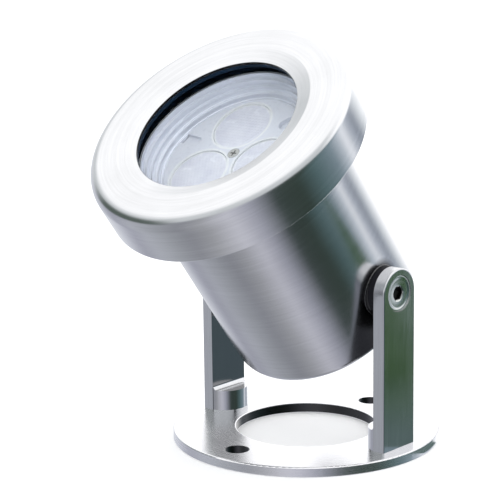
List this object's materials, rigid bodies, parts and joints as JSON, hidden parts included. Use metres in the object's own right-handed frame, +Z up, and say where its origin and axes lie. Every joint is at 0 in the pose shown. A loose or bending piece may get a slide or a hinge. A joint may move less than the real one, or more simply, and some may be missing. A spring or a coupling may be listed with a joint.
{
  "type": "underwater pond light",
  "caption": "Round stainless spotlight with a stepped glass window, tilting between two upright arms on a flat ring foot.",
  "frame": {"origin": "centre of the foot ring's underside, midway between the two fixing holes", "axes": "+Z up; X through the two arms and along the tilt axis; the window faces up and towards -Y"},
  "size_m": [0.085, 0.1157, 0.1306],
  "materials": {
    "base_steel": "polished",
    "arm_steel": "satin",
    "housing_steel": "brushed",
    "bezel_steel": "satin",
    "screw_steel": "turned",
    "gland_steel": "satin",
    "seal_rubber": "matte",
    "washer_nylon": "moulded black nylon",
    "window_glass": "clear",
    "reflector_metal": "bright anodised",
    "holder_plastic": "moulded white",
    "lens_acrylic": "beaded clear acrylic",
    "board_white": "white solder mask",
    "led_chip": "phosphor",
    "sink_aluminium": "turned",
    "standoff_brass": "nickel-free brass",
    "board_green": "solder mask",
    "ferrite": "sintered",
    "capacitor_can": "sleeved",
    "chip_black": "moulded",
    "terminal_plastic": "moulded",
    "wire_red": "insulated"
  },
  "bodies": {
    "bracket": {"base_ring": "base_steel", "arm_left": "arm_steel", "arm_right": "arm_steel", "foot_screws": "screw_steel", "spacer_washer_left": "washer_nylon", "spacer_washer_right": "washer_nylon"},
    "head": {"bezel_ring": "bezel_steel", "board_screws": "screw_steel", "capacitor": "capacitor_can", "driver_board": "board_green", "driver_chip": "chip_black", "driver_screws": "screw_steel", "front_gasket": "seal_rubber", "front_glass": "window_glass", "gland_body": "gland_steel", "gland_insert": "seal_rubber", "gland_locknut": "gland_steel", "gland_nut": "gland_steel", "gland_washer": "seal_rubber", "glass_oring": "seal_rubber", "heat_sink": "sink_aluminium", "housing": "housing_steel", "inductor": "ferrite", "led_1": "led_chip", "led_2": "led_chip", "led_3": "led_chip", "led_board": "board_white", "led_wires": "wire_red", "lens_1": "lens_acrylic", "lens_2": "lens_acrylic", "lens_3": "lens_acrylic", "lens_holder": "holder_plastic", "lens_screw": "screw_steel", "pivot_boss_left": "housing_steel", "pivot_boss_right": "housing_steel", "pivot_screw_left": "screw_steel", "pivot_screw_right": "screw_steel", "rectifier": "chip_black", "reflector_ring": "reflector_metal", "standoffs": "standoff_brass", "terminal_block": "terminal_plastic", "transformer": "ferrite"}
  },
  "joints": [
    {"name": "head_tilt", "type": "hinge", "parent": "bracket", "child": "head", "pos_m": [0, 0, 0.052], "axis": [1, 0, 0], "range_deg": [-126.8, 53.2]}
  ]
}
